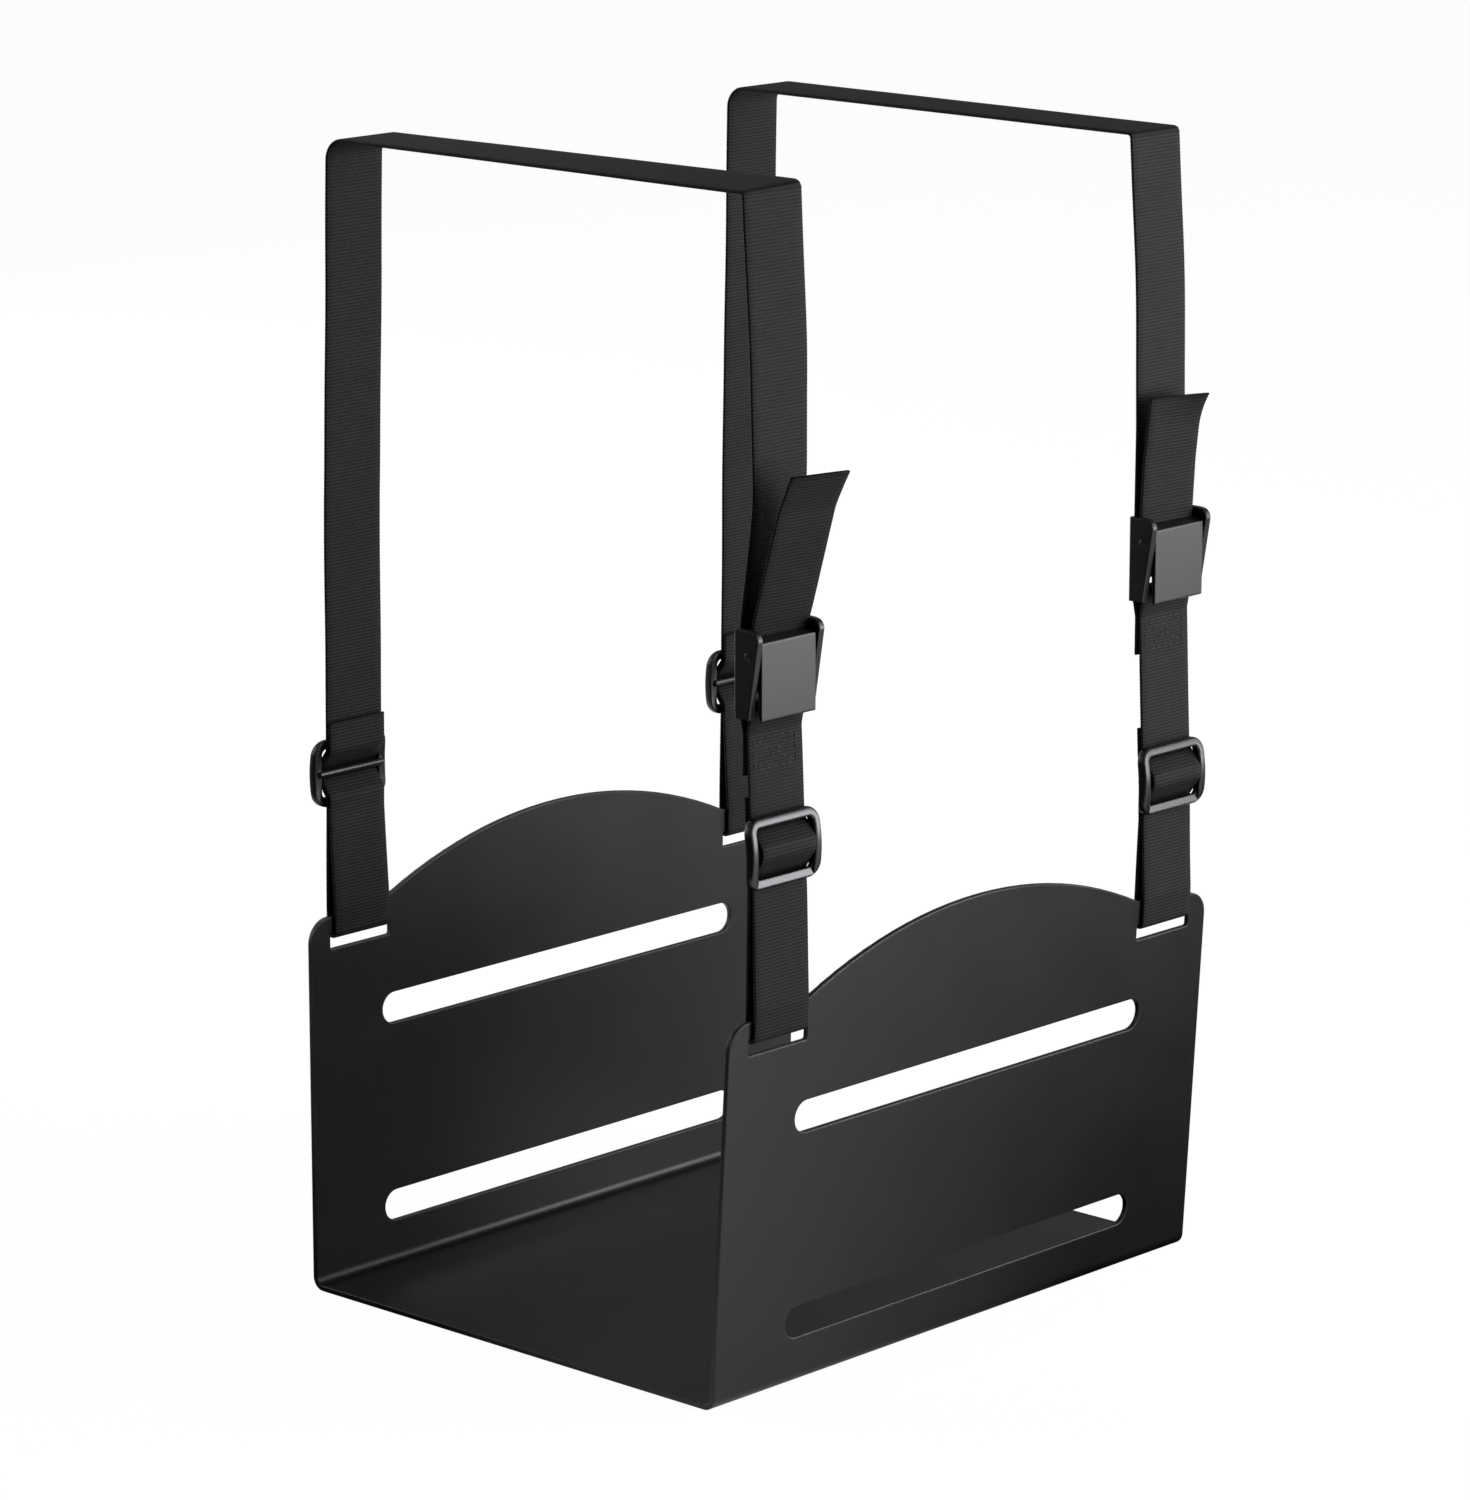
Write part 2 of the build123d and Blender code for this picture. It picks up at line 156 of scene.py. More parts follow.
BEND_CENTRE_Z = SHEET + BEND_INNER_RADIUS


def plate_y(side, lean, z, depth):
    """Y of a plate at a height, at a depth of 0 on its inner face and SHEET on its outer face."""
    angle = radians(lean)
    reach = (BEND_INNER_RADIUS + depth + sin(angle) * (z - BEND_CENTRE_Z)) / cos(angle)
    return side * (INNER_WIDTH / 2 - BEND_INNER_RADIUS + reach)


def shifted(run, distance):
    """A run moved sideways, left of its direction, with its bend radii kept concentric."""
    normals = []
    for (y0, z0, _), (y1, z1, _) in zip(run, run[1:]):
        length = hypot(y1 - y0, z1 - z0)
        normals.append(((z0 - z1) / length, (y1 - y0) / length))
    ends = [normals[0], *normals, normals[-1]]
    moved = []
    for (y, z, radius), (ay, az), (by, bz) in zip(run, ends, ends[1:]):
        scale = distance / (1 + ay * by + az * bz)
        turn = ay * bz - az * by
        change = -distance if turn > 0 else distance
        moved.append((y + scale * (ay + by), z + scale * (az + bz), radius + change))
    return moved


def glide_frame(side, main_y, z, lean):
    """Y and Z of a point at an outward depth and a height on a glide whose webbing runs at main_y."""
    angle = radians(lean)
    centre_y = main_y + side * GLIDE_REST

    def place(depth, height):
        y = centre_y + side * (depth * cos(angle) + height * sin(angle))
        return y, z + height * cos(angle) - depth * sin(angle)

    return place


def weave(side, main_y, z, lean):
    """The outer layer's way up through a glide: in at the lower window, over the centre bar, and back."""
    place = glide_frame(side, main_y, z, lean)
    window = GLIDE_HEIGHT / 2 - GLIDE_BAR
    crest = CENTRE_BAR_DIAMETER / 2 - CENTRE_BAR_SETBACK + WRAP_GAP + LAYER_PITCH + WEBBING / 2
    local = [
        (-GLIDE_REST, -window, WINDOW_RADIUS),
        (crest, -CREST_HALF, CREST_RADIUS),
        (crest, CREST_HALF, CREST_RADIUS),
        (-GLIDE_REST, window, WINDOW_RADIUS),
    ]
    return [(*place(depth, height), radius) for depth, height, radius in local]


def inner_weave(side, main_y, z, lean):
    """The inner layer's way, from its cut end above the glide down through both windows."""
    place = glide_frame(side, main_y, z, lean)
    tip = (*place(-GLIDE_REST, GLIDE_TAIL), 0)
    foot = (*place(-GLIDE_REST, -GLIDE_HEIGHT / 2 - 2), 5.0)
    run = [tip, *reversed(weave(side, main_y, z, lean)), foot]
    return shifted(run, -side * LAYER_PITCH)


def slot_wrap(side, lean):
    """Round the bar above a plate's strap slot, from behind the plate to its front."""
    z = STRAP_SLOT_HIGH + 0.3
    reach = SHEET / 2 + SLOT_GAP + WEBBING / 2
    middle = plate_y(side, lean, z, SHEET / 2)
    low = z - reach
    clear_z = ARCH_END + 0.4
    clear = side * (SLOT_GAP + WEBBING / 2)
    return [
        (plate_y(side, lean, clear_z, 0) - clear, clear_z, PLATE_CLEAR_RADIUS),
        (middle - side * reach, low, reach - TURN_TRIM),
        (middle + side * reach, low, reach - TURN_TRIM),
        (plate_y(side, lean, clear_z, SHEET) + clear, clear_z, PLATE_CLEAR_RADIUS),
    ]


def strap_loop(side, lean, main_y, glide_z, glide_lean):
    """A strap's lower end: down through the glide, round the slot's bar and up through the glide again."""
    return [
        *inner_weave(side, main_y, glide_z, glide_lean),
        *slot_wrap(side, lean),
        *weave(side, main_y, glide_z, glide_lean),
    ]


def front_line(hand):
    """Y at the front glide, and the lean in degrees, of the short strap between the plate and the buckle."""
    low_y, low_z = slot_wrap(-1, FRONT_LEAN)[-1][:2]
    high_y = BUCKLE_BACK_Y - BOTTOM_BAR[0] - LAYER_PITCH / 2
    high_z = BUCKLE_BASE_Z[hand] + SEWN_TOP
    share = (FRONT_GLIDE_Z[hand] - low_z) / (high_z - low_z)
    lean = degrees(atan2(low_y - high_y, high_z - low_z))
    return low_y + share * (high_y - low_y), lean


def rear_line():
    """Y at a rear glide, and the lean in degrees, of a long strap between the plate and the tower's top."""
    low_y, low_z = slot_wrap(1, BACK_LEAN)[-1][:2]
    high_y = TOWER_FAR_Y + FAR_SIDE_GAP + WEBBING / 2
    share = (REAR_GLIDE_Z - low_z) / (TOWER_TOP_Z - low_z)
    lean = degrees(atan2(high_y - low_y, TOWER_TOP_Z - low_z))
    return low_y + share * (high_y - low_y), lean


def on_buckle(hand, depth, height):
    """Y and Z of a point at an outward depth and a height on a buckle."""
    return BUCKLE_BACK_Y - depth, BUCKLE_BASE_Z[hand] + height


def short_run(hand):
    """The short strap's run of (y, z, bend radius): its lower loop, and the sewn one on the buckle's bar."""
    main_y, lean = front_line(hand)
    bar_depth, bar_height = BOTTOM_BAR
    wrap = BOTTOM_BAR_RADIUS + BAR_GAP + WEBBING / 2
    top = bar_height + wrap
    loop = [
        (bar_depth + LAYER_PITCH / 2, SEWN_TOP, 6.0),
        (bar_depth + wrap, bar_height - 0.5, 4.0),
        (bar_depth + wrap, top, wrap - TURN_TRIM),
        (bar_depth - wrap, top, wrap - TURN_TRIM),
        (bar_depth - wrap, bar_height - 0.5, 4.0),
        (bar_depth - LAYER_PITCH / 2, SEWN_TOP, 6.0),
        (bar_depth - LAYER_PITCH / 2, SEWN_END, 0),
    ]
    run = strap_loop(-1, FRONT_LEAN, main_y, FRONT_GLIDE_Z[hand], lean)
    return run + [(*on_buckle(hand, depth, height), radius) for depth, height, radius in loop]


def rear_loop():
    """A long strap's lower end, at the back plate."""
    main_y, lean = rear_line()
    return strap_loop(1, BACK_LEAN, main_y, REAR_GLIDE_Z, lean)


def long_run(hand):
    """The long strap's run of (y, z, bend radius): lower loop, over the tower, through the buckle, tail."""
    over_z = TOWER_TOP_Z + OVER_TOWER_GAP + WEBBING / 2
    bar_depth, bar_height = TOP_BAR
    wrap = TOP_BAR_THICKNESS / 2 + BAR_GAP + WEBBING / 2
    low = bar_height - wrap
    return [
        *rear_loop(),
        (TOWER_FAR_Y + FAR_SIDE_GAP + WEBBING / 2, over_z, CORNER_RADIUS),
        (TOWER_NEAR_Y - NEAR_SIDE_REACH, over_z, NEAR_CORNER_RADIUS),
        *BOW[hand],
        (*on_buckle(hand, bar_depth - wrap, bar_height + 6), 60.0),
        (*on_buckle(hand, bar_depth - wrap, low), wrap - TURN_TRIM),
        (*on_buckle(hand, bar_depth + wrap, low), wrap - TURN_TRIM),
        *[(*on_buckle(hand, depth, height), radius) for depth, height, radius in TAILS[hand]],
    ]


def route(run, step):
    """Evenly spaced (y, z) points along a run with rounded corners."""
    points = [np.array(run[0][:2])]
    for before, here, after in zip(run, run[1:], run[2:]):
        p0, p1, p2 = (np.array(p[:2]) for p in (before, here, after))
        u = (p0 - p1) / np.linalg.norm(p0 - p1)
        v = (p2 - p1) / np.linalg.norm(p2 - p1)
        half = acos(max(-1.0, min(1.0, float(u @ v)))) / 2
        radius = here[2]
        if radius <= 0 or half > pi / 2 - 1e-4:
            points.append(p1)
            continue
        cut = radius / tan(half)
        middle = p1 + (u + v) / np.linalg.norm(u + v) * radius / sin(half)
        a, b = p1 + u * cut - middle, p1 + v * cut - middle
        a0 = atan2(a[1], a[0])
        turn = (atan2(b[1], b[0]) - a0 + pi) % (2 * pi) - pi
        count = max(2, int(abs(turn) * radius / 0.1))
        for i in range(count + 1):
            t = a0 + turn * i / count
            points.append(middle + radius * np.array((cos(t), sin(t))))
    points.append(np.array(run[-1][:2]))
    points = np.array(points)
    gaps = np.linalg.norm(np.diff(points, axis=0), axis=1)
    keep = np.concatenate([[True], gaps > 1e-6])
    points = points[keep]
    along = np.concatenate([[0], np.cumsum(np.linalg.norm(np.diff(points, axis=0), axis=1))])
    count = int(along[-1] / step)
    even = np.linspace(0, along[-1], count + 1)
    return np.stack([np.interp(even, along, points[:, 0]), np.interp(even, along, points[:, 1])], 1), even


# ---------------------------------------------------------------- materials
# Pitches are in the millimetres of the webbing's UVs, and the shader nodes' own lengths are in metres.
RIB_PITCH = 1.13
YARN_PITCH = 0.9
EDGE_ROUND = 0.0006
ROUGH_SPREAD = 0.015
# Lighter colour along edges: partly wear, and partly a painted highlight where the edges catch the light.
EDGE_WEAR_AND_HIGHLIGHT = (0.26, 0.26, 0.265)


def new_material(name):
    mat = bpy.data.materials.new(name)
    mat.use_nodes = True
    tree = mat.node_tree
    return mat, tree, tree.nodes["Principled BSDF"]


def node(tree, kind, **values):
    n = tree.nodes.new(kind)
    for key, value in values.items():
        if key.startswith("i_"):
            n.inputs[key[2:].replace("_", " ")].default_value = value
        else:
            setattr(n, key, value)
    return n


def link(tree, a, b):
    tree.links.new(a, b)


def ramp(tree, source, stops):
    n = tree.nodes.new("ShaderNodeValToRGB")
    n.color_ramp.elements[0].position = stops[0][0]
    n.color_ramp.elements[0].color = (*stops[0][1], 1)
    n.color_ramp.elements[1].position = stops[-1][0]
    n.color_ramp.elements[1].color = (*stops[-1][1], 1)
    for position, colour in stops[1:-1]:
        e = n.color_ramp.elements.new(position)
        e.color = (*colour, 1)
    link(tree, source, n.inputs["Fac"])
    return n.outputs["Color"]


def remap(tree, source, low, high, from_low=0.0, from_high=1.0):
    n = node(tree, "ShaderNodeMapRange")
    n.inputs["From Min"].default_value = from_low
    n.inputs["From Max"].default_value = from_high
    n.inputs["To Min"].default_value = low
    n.inputs["To Max"].default_value = high
    link(tree, source, n.inputs["Value"])
    return n.outputs["Result"]


def multiplied(tree, colour, by):
    """One colour times another."""
    n = node(tree, "ShaderNodeMix", data_type="RGBA", blend_type="MULTIPLY")
    n.inputs["Factor"].default_value = 1.0
    link(tree, colour, n.inputs[6])
    link(tree, by, n.inputs[7])
    return n.outputs[2]


def bumped(tree, bsdf, height, strength, distance):
    """Give the shader a bump from a height, and return the bump's node."""
    n = node(tree, "ShaderNodeBump", i_Strength=strength, i_Distance=distance)
    link(tree, height, n.inputs["Height"])
    link(tree, n.outputs["Normal"], bsdf.inputs["Normal"])
    return n


def coated_metal(name, dark, light, rough, grain_mm, grain_strength, edge, specular):
    """Black coating on metal: fine grain, clouds in its colour and gloss, and a lighter colour on its edges
    that is partly wear and partly a painted highlight.
    """
    mat, tree, bsdf = new_material(name)
    place = node(tree, "ShaderNodeTexCoord").outputs["Object"]
    cloud = node(tree, "ShaderNodeTexNoise", i_Scale=38.0, i_Detail=4.0, i_Roughness=0.6)
    link(tree, place, cloud.inputs["Vector"])
    grain = node(tree, "ShaderNodeTexNoise", i_Scale=1000.0 / grain_mm, i_Detail=2.0, i_Roughness=0.5)
    link(tree, place, grain.inputs["Vector"])
    base = ramp(tree, cloud.outputs["Fac"], [(0.3, dark), (0.7, light)])
    bevel = node(tree, "ShaderNodeBevel", samples=4, i_Radius=EDGE_ROUND)
    geometry = node(tree, "ShaderNodeNewGeometry")
    dot = node(tree, "ShaderNodeVectorMath", operation="DOT_PRODUCT")
    link(tree, bevel.outputs["Normal"], dot.inputs[0])
    link(tree, geometry.outputs["Normal"], dot.inputs[1])
    # Edge mask from the rounded normals, for the lighter edge colour: partly wear, partly a painted
    # highlight.
    edge_wear_and_highlight = remap(tree, dot.outputs["Value"], edge, 0.0, 0.80, 0.985)
    patchy = node(tree, "ShaderNodeMath", operation="MULTIPLY")
    link(tree, edge_wear_and_highlight, patchy.inputs[0])
    link(tree, remap(tree, cloud.outputs["Fac"], 0.2, 1.0, 0.35, 0.65), patchy.inputs[1])
    mix = node(tree, "ShaderNodeMix", data_type="RGBA")
    link(tree, patchy.outputs["Value"], mix.inputs["Factor"])
    link(tree, base, mix.inputs[6])
    mix.inputs[7].default_value = (*EDGE_WEAR_AND_HIGHLIGHT, 1)
    link(tree, mix.outputs[2], bsdf.inputs["Base Color"])
    gloss = remap(tree, cloud.outputs["Fac"], rough - ROUGH_SPREAD, rough + ROUGH_SPREAD, 0.3, 0.7)
    link(tree, gloss, bsdf.inputs["Roughness"])
    bump = bumped(tree, bsdf, grain.outputs["Fac"], grain_strength, 0.00006)
    link(tree, bevel.outputs["Normal"], bump.inputs["Normal"])
    bsdf.inputs["Specular IOR Level"].default_value = specular
    return mat


def webbing_material():
    """Ribbed black webbing, read from UVs in millimetres: U across the strap, V along it."""
    mat, tree, bsdf = new_material("webbing")
    uv = node(tree, "ShaderNodeUVMap", uv_map="weave")
    split = node(tree, "ShaderNodeSeparateXYZ")
    link(tree, uv.outputs["UV"], split.inputs["Vector"])
    place = node(tree, "ShaderNodeTexCoord").outputs["Object"]

    def wave(value, pitch, shift=0.0):
        scaled = node(tree, "ShaderNodeMath", operation="MULTIPLY_ADD")
        link(tree, value, scaled.inputs[0])
        scaled.inputs[1].default_value = 2 * pi / pitch
        scaled.inputs[2].default_value = shift
        wave_node = node(tree, "ShaderNodeMath", operation="SINE")
        link(tree, scaled.outputs["Value"], wave_node.inputs[0])
        return wave_node.outputs["Value"]

    yarn = wave(split.outputs["X"], YARN_PITCH)
    rib = wave(split.outputs["Y"], RIB_PITCH, pi / 2)
    fibre = node(tree, "ShaderNodeTexNoise", i_Scale=1.0, i_Detail=3.0, i_Roughness=0.7)
    stretch = node(tree, "ShaderNodeMapping")
    stretch.inputs["Scale"].default_value = (9.0, 1.6, 1.0)
    link(tree, uv.outputs["UV"], stretch.inputs["Vector"])
    link(tree, stretch.outputs["Vector"], fibre.inputs["Vector"])
    cloud = node(tree, "ShaderNodeTexNoise", i_Scale=60.0, i_Detail=3.0)
    link(tree, place, cloud.inputs["Vector"])

    crossed = node(tree, "ShaderNodeMath", operation="MULTIPLY")
    link(tree, yarn, crossed.inputs[0])
    link(tree, rib, crossed.inputs[1])
    height = node(tree, "ShaderNodeMath", operation="MULTIPLY_ADD")
    link(tree, crossed.outputs["Value"], height.inputs[0])
    height.inputs[1].default_value = 0.5
    link(tree, fibre.outputs["Fac"], height.inputs[2])

    # Painted shade: the colour is darker in the grooves between the ribs.
    groove_shade = remap(tree, rib, 0.0, 1.0, -1.0, 0.3)
    colour = node(tree, "ShaderNodeMix", data_type="RGBA")
    link(tree, groove_shade, colour.inputs["Factor"])
    colour.inputs[6].default_value = (0.005, 0.005, 0.0055, 1)
    yarns = ramp(tree, fibre.outputs["Fac"], [(0.3, (0.025, 0.025, 0.0255)), (0.7, (0.046, 0.046, 0.047))])
    link(tree, yarns, colour.inputs[7])
    clouds = ramp(tree, cloud.outputs["Fac"], [(0.3, (0.8,) * 3), (0.7, (1.0,) * 3)])
    cloudy = multiplied(tree, colour.outputs[2], clouds)
    # Painted shade: ambient occlusion darkens the base colour where the webbing is tucked into slots, glide
    # windows and between its layers.
    painted_shade_ao = node(tree, "ShaderNodeAmbientOcclusion", samples=6, i_Distance=0.008)
    shadow = ramp(tree, painted_shade_ao.outputs["AO"], [(0.38, (0.08,) * 3), (0.92, (1.0,) * 3)])
    seal = node(tree, "ShaderNodeAttribute", attribute_name="seal")
    sealed = node(tree, "ShaderNodeMix", data_type="RGBA")
    link(tree, seal.outputs["Fac"], sealed.inputs["Factor"])
    link(tree, multiplied(tree, cloudy, shadow), sealed.inputs[6])
    sealed.inputs[7].default_value = (0.006, 0.006, 0.006, 1)
    link(tree, sealed.outputs[2], bsdf.inputs["Base Color"])
    link(tree, remap(tree, fibre.outputs["Fac"], 0.48, 0.68, 0.3, 0.7), bsdf.inputs["Roughness"])
    bumped(tree, bsdf, height.outputs["Value"], 0.5, 0.00012)
    bsdf.inputs["Sheen Weight"].default_value = 0.03
    bsdf.inputs["Sheen Roughness"].default_value = 0.4
    bsdf.inputs["Specular IOR Level"].default_value = 0.14
    return mat


def steel_material():
    """Bright plated steel with fine drawn lines."""
    mat, tree, bsdf = new_material("plated_steel")
    place = node(tree, "ShaderNodeTexCoord").outputs["Object"]
    stretch = node(tree, "ShaderNodeMapping")
    stretch.inputs["Scale"].default_value = (400, 4000, 4000)
    link(tree, place, stretch.inputs["Vector"])
    lines = node(tree, "ShaderNodeTexNoise", i_Scale=1.0, i_Detail=3.0)
    link(tree, stretch.outputs["Vector"], lines.inputs["Vector"])
    tone = ramp(tree, lines.outputs["Fac"], [(0.3, (0.42, 0.42, 0.43)), (0.7, (0.6, 0.6, 0.61))])
    link(tree, tone, bsdf.inputs["Base Color"])
    link(tree, remap(tree, lines.outputs["Fac"], 0.22, 0.4, 0.3, 0.7), bsdf.inputs["Roughness"])
    bsdf.inputs["Metallic"].default_value = 1.0
    bumped(tree, bsdf, lines.outputs["Fac"], 0.2, 0.00003)
    return mat


def thread_material():
    """Twisted black sewing thread."""
    mat, tree, bsdf = new_material("thread")
    place = node(tree, "ShaderNodeTexCoord").outputs["Object"]
    twist = node(tree, "ShaderNodeTexWave", wave_type="BANDS", bands_direction="DIAGONAL")
    twist.inputs["Scale"].default_value = 900.0
    twist.inputs["Distortion"].default_value = 1.0
    link(tree, place, twist.inputs["Vector"])
    tone = ramp(tree, twist.outputs["Fac"], [(0.2, (0.012, 0.012, 0.012)), (0.8, (0.035, 0.035, 0.036))])
    link(tree, tone, bsdf.inputs["Base Color"])
    link(tree, remap(tree, twist.outputs["Fac"], 0.4, 0.6), bsdf.inputs["Roughness"])
    bumped(tree, bsdf, twist.outputs["Fac"], 0.4, 0.00005)
    return mat


THREAD = thread_material()
# edge sets how strong the lighter edge colour is: on the powder coat it is a painted highlight along the cut
# edges, on the castings mostly a little wear.
POWDER = coated_metal(
    "powder_coat", dark=(0.0055, 0.0055, 0.0057), light=(0.0075, 0.0075, 0.0078),
    rough=0.36, grain_mm=0.45, grain_strength=0.35, edge=1.0, specular=0.5,
)
CAST = coated_metal(
    "cast_coat", dark=(0.0045, 0.0045, 0.0048), light=(0.0065, 0.0065, 0.0069),
    rough=0.34, grain_mm=0.6, grain_strength=0.25, edge=0.15, specular=0.6,
)
BRIGHT = coated_metal(
    "glide_coat", dark=(0.010, 0.010, 0.0105), light=(0.014, 0.014, 0.0145),
    rough=0.26, grain_mm=0.8, grain_strength=0.15, edge=0.25, specular=0.6,
)
STEEL = steel_material()
WEAVE = webbing_material()

# ---------------------------------------------------------------- webbing
BAND_THICKNESS = WEBBING - 0.08
RIB_STEP = RIB_PITCH / 4
RIB_DEPTH = 0.17
RIB_FULLNESS = 0.6
RIB_LEVEL = 0.75
SWELL_ACROSS = 0.8
SWELL_THROUGH = 0.5
# How a strap wanders from side to side along its length: size, length and start of two waves.
WANDER = [(0.12, 23.0, 1.3), (0.07, 9.0, 0.0)]
NO_TWIST = ((0,), (0,))
TIP_CURL = 13.0
SEALED_END = 1.6


def section():
    """Points round a flat band with rounded selvedges, as (u, w): u across the strap and w through it."""
    half = WEBBING_WIDTH / 2
    edge = BAND_THICKNESS / 2
    flats = np.linspace(-(half - edge), half - edge, 9)
    turns = (pi / 4, pi / 2, 3 * pi / 4)
    ring = [(u, edge) for u in flats]
    ring += [(half - edge + edge * sin(a), edge * cos(a)) for a in turns]
    ring += [(u, -edge) for u in flats[::-1]]
    ring += [(-(half - edge) - edge * sin(a), -edge * cos(a)) for a in turns]
    return np.array(ring)


def swollen(ring, swell):
    """A section's u and w in every row, swollen by the ribs: its faces straight out, its selvedges round."""
    flat = np.abs(np.abs(ring[:, 1]) - BAND_THICKNESS / 2) < 1e-9
    centre_u = np.sign(ring[:, 0]) * (WEBBING_WIDTH / 2 - BAND_THICKNESS / 2)
    away = np.stack([ring[:, 0] - centre_u, ring[:, 1]], 1)
    away /= np.maximum(np.linalg.norm(away, axis=1), 1e-9)[:, None]
    push = np.where(flat[:, None], np.stack([np.zeros(len(ring)), np.sign(ring[:, 1])], 1), away)
    u = ring[:, 0] + push[:, 0] * swell[:, None] * SWELL_ACROSS
    w = ring[:, 1] + push[:, 1] * swell[:, None] * SWELL_THROUGH
    return u, w


def strap_rows(hand, points, along, ring, across, twist, corner):
    """A strap's points in millimetres, a row round it for each point of its route."""
    tangent = np.gradient(points, axis=0)
    tangent /= np.linalg.norm(tangent, axis=1)[:, None]
    normal = np.stack([tangent[:, 1], -tangent[:, 0]], 1)
    wander = sum(size * np.sin(along / length + start) for size, length, start in WANDER)
    angle = np.interp(along, *twist)[:, None]
    lift = corner * np.clip(1 - (along[-1] - along) / TIP_CURL, 0, 1) ** 2
    u, w = swollen(ring, RIB_DEPTH * (np.abs(np.sin(pi * along / RIB_PITCH)) ** RIB_FULLNESS - RIB_LEVEL))
    w = w - lift[:, None] * (0.5 + ring[:, 0] / WEBBING_WIDTH) ** 1.5
    outward = (u * np.sin(angle) + w * np.cos(angle))[:, :, None] * normal[:, None, :]
    rows = np.zeros((*u.shape, 3))
    middle = np.interp(along, *across) + wander
    rows[:, :, 0] = HANDS[hand] + middle[:, None] + u * np.cos(angle) - w * np.sin(angle)
    rows[:, :, 1:] = points[:, None, :] + outward
    return rows


def webbing(name, hand, run, across, twist=NO_TWIST, corner=0.0):
    """A ribbed strap along a run.

    across and twist say how its X and its turn change along it, and corner lifts its last corner.
    """
    points, along = route(run, RIB_STEP)
    ring = section()
    verts = strap_rows(hand, points, along, ring, across, twist, corner).reshape(-1, 3) * MM
    count = len(ring)
    faces = tube_faces(len(points), count)
    faces.append(tuple(range(count))[::-1])
    faces.append(tuple(range(len(verts) - count, len(verts))))
    mesh = bpy.data.meshes.new(name)
    mesh.from_pydata(verts.tolist(), [], faces)
    layer = mesh.uv_layers.new(name="weave")
    uv = np.zeros((len(mesh.loops), 2))
    vertex = np.zeros(len(mesh.loops), int)
    mesh.loops.foreach_get("vertex_index", vertex)
    uv[:, 0] = ring[vertex % count, 0]
    uv[:, 1] = along[vertex // count]
    layer.data.foreach_set("uv", uv.ravel())
    seal = np.clip(1 - np.minimum(along, along[-1] - along) / SEALED_END, 0, 1)
    mesh.attributes.new("seal", "FLOAT", "POINT").data.foreach_set("value", np.repeat(seal, count))
    mesh.validate()
    faces_outward(mesh)
    shaded(mesh, WEAVE)
    obj = added(name, mesh)
    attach(obj, "holder")
    return obj


def route_length(run, upto):
    """Distance along the route to the point nearest run[upto]."""
    points, along = route(run, 0.2)
    return along[int(np.argmin(np.linalg.norm(points - np.array(run[upto][:2]), axis=1)))]


# How the straps depart from a straight line: skew and drift toward +X and the corner's lift in millimetres,
# and twist in radians.
TAIL_LENGTH = {"left": 58.0, "right": 50.0}
TOP_SKEW = {"left": (1.8, 3.4), "right": (0.8, -3.1)}
UPPER_DRIFT = {"left": (2.0, 1.9), "right": (-1.4, -0.3)}
UPPER_TWIST = {"left": (0.065, 0.03, -0.03), "right": (0.0, 0.0, 0.0)}
TAIL_DRIFT = {"left": (0.7, 0.4), "right": (-0.9, -0.9)}
TAIL_TWIST = {"left": -0.05, "right": -0.075}
TAIL_CORNER = {"left": 0.6, "right": 3.2}
SHORT_DRIFT = {
    "left": ([0, 95, 130, 1000], [0, 0, 0.5, 0.5]),
    "right": ([0, 95, 120, 1000], [0, 0, 0.3, 0.3]),
}

for hand in HANDS:
    run = long_run(hand)
    far_corner = len(rear_loop())
    far_top, near_top = route_length(run, far_corner), route_length(run, far_corner + 1)
    total = route(run, 0.5)[1][-1]
    buckle = total - TAIL_LENGTH[hand]
    across = (
        [0, far_top - 120, far_top, near_top, near_top + 65, near_top + 98, buckle - 8, buckle + 6, total],
        [0, 0, *TOP_SKEW[hand], *UPPER_DRIFT[hand], 0, *TAIL_DRIFT[hand]],
    )
    twist = (
        [0, far_top, near_top - 6, near_top + 50, near_top + 95, buckle - 8, buckle + 10, total],
        [0, 0, *UPPER_TWIST[hand], 0, TAIL_TWIST[hand], TAIL_TWIST[hand]],
    )
    long_piece = webbing(f"{hand}_long_webbing", hand, run, across, twist=twist, corner=TAIL_CORNER[hand])
    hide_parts(f"{hand}_long_strap")
    short_piece = webbing(f"{hand}_short_webbing", hand, short_run(hand), SHORT_DRIFT[hand])
    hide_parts(f"{hand}_short_strap")

# ---------------------------------------------------------------- glides
GLIDE_WIDTH = 32.6
GLIDE_SIDE = 3.1
GLIDE_CORNER = 4.8
FACE_ARCH_RADIUS = 40.0
FACE_RISE = 0.9
FRONT_ROUND = 0.9
BACK_ROUND = 0.4
LIP_WIDTH = 26.2
LIP_TOP = (0.15, -8.0)
LIP_FOOT = (0.75, -10.6)
LIP_OVERRUN = 3
LIP_CUT_DEPTH = 4.8
BAR_END_INSET = 1.6
SHARP_EDGE = radians(32)


def glide_front(height):
    """Outward depth of the glide's arched front face at a height."""
    return GLIDE_THICKNESS / 2 + FACE_RISE - height**2 / (2 * FACE_ARCH_RADIUS)


def glide_back(height):
    """Outward depth of the glide's arched back face at a height."""
    return -GLIDE_THICKNESS / 2 - height**2 / (2 * GLIDE_ARCH_RADIUS)


